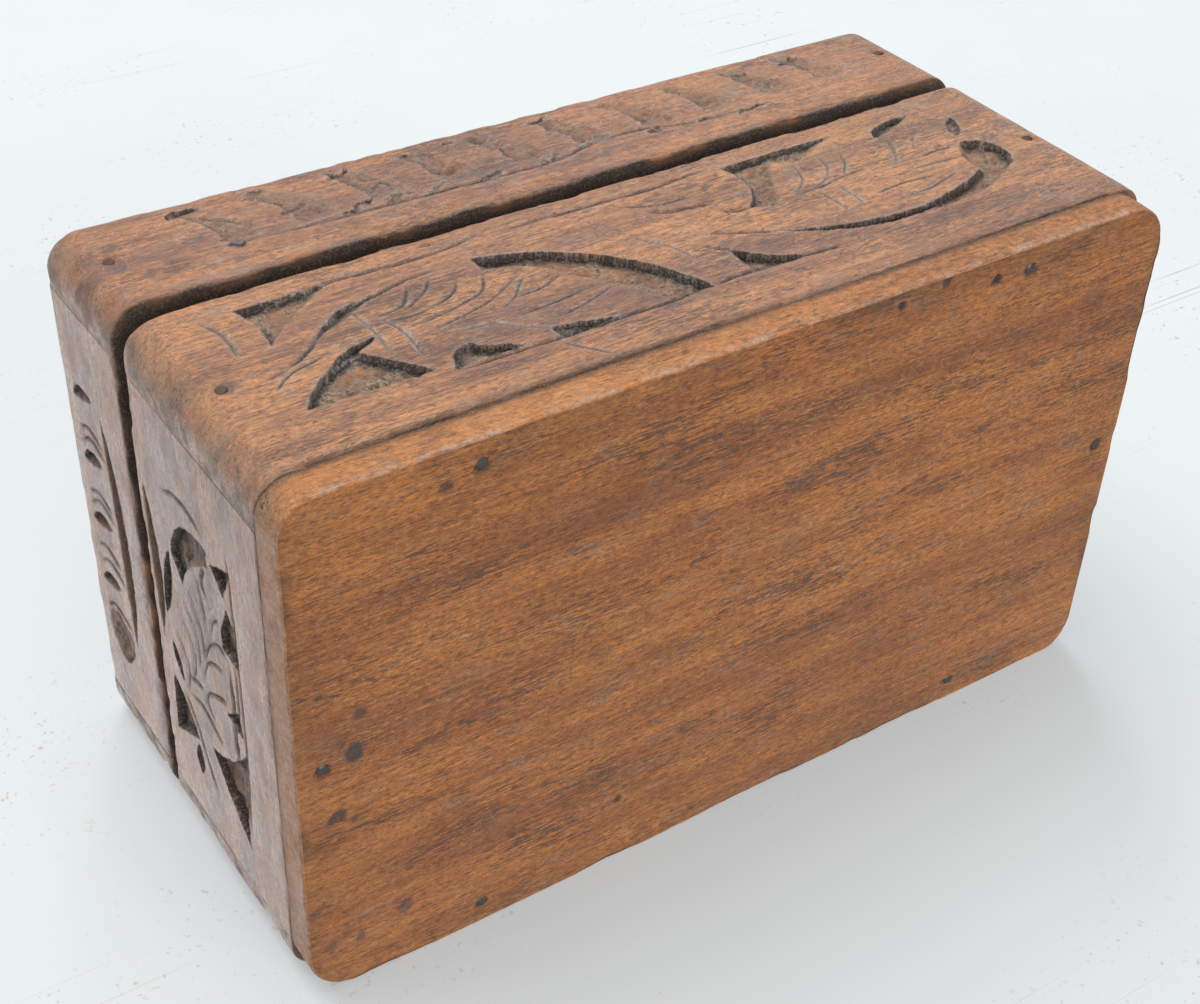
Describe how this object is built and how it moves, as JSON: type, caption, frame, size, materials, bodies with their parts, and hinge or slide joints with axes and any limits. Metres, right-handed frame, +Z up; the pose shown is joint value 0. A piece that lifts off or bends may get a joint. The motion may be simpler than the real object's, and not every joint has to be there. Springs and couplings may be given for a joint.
{
  "type": "wooden storage box",
  "caption": "Oblong wooden box with rounded corners, leaf carving on its sides and a carved lid on butt hinges; stores small things.",
  "frame": {"origin": "middle of the base board's lower face, on the ground", "axes": "+X along the length, +Z up, the carved front faces -Y and the hinges are at +Y"},
  "size_m": [0.203, 0.1225, 0.098],
  "materials": {
    "base_wood": "worn, waxed, orange-brown",
    "body_wood": "worn, waxed, reddish brown",
    "lid_wood": "worn, waxed, reddish brown",
    "panel_wood": "worn, waxed, reddish brown",
    "nail_iron": "dull, dark",
    "hinge_iron": "dark, slightly rusty"
  },
  "bodies": {
    "case": {"base_board": "base_wood", "front_board": "body_wood", "back_board": "body_wood", "left_end_board": "body_wood", "right_end_board": "body_wood", "base_nails": "nail_iron", "body_corner_nails": "nail_iron", "hinge_body_leaf_left": "hinge_iron", "hinge_body_leaf_right": "hinge_iron", "hinge_pin_left": "hinge_iron", "hinge_pin_right": "hinge_iron", "body_leaf_screws": "hinge_iron"},
    "lid": {"lid_panel": "panel_wood", "lid_front_rail": "lid_wood", "lid_back_rail": "lid_wood", "lid_left_rail": "lid_wood", "lid_right_rail": "lid_wood", "lid_corner_nails": "nail_iron", "hinge_lid_leaf_left": "hinge_iron", "hinge_lid_leaf_right": "hinge_iron", "lid_leaf_screws": "hinge_iron"}
  },
  "joints": [
    {"name": "lid_hinge", "type": "hinge", "parent": "case", "child": "lid", "pos_m": [0, 0.0598, 0.06383], "axis": [-1, 0, 0], "range_deg": [0, 100]}
  ]
}
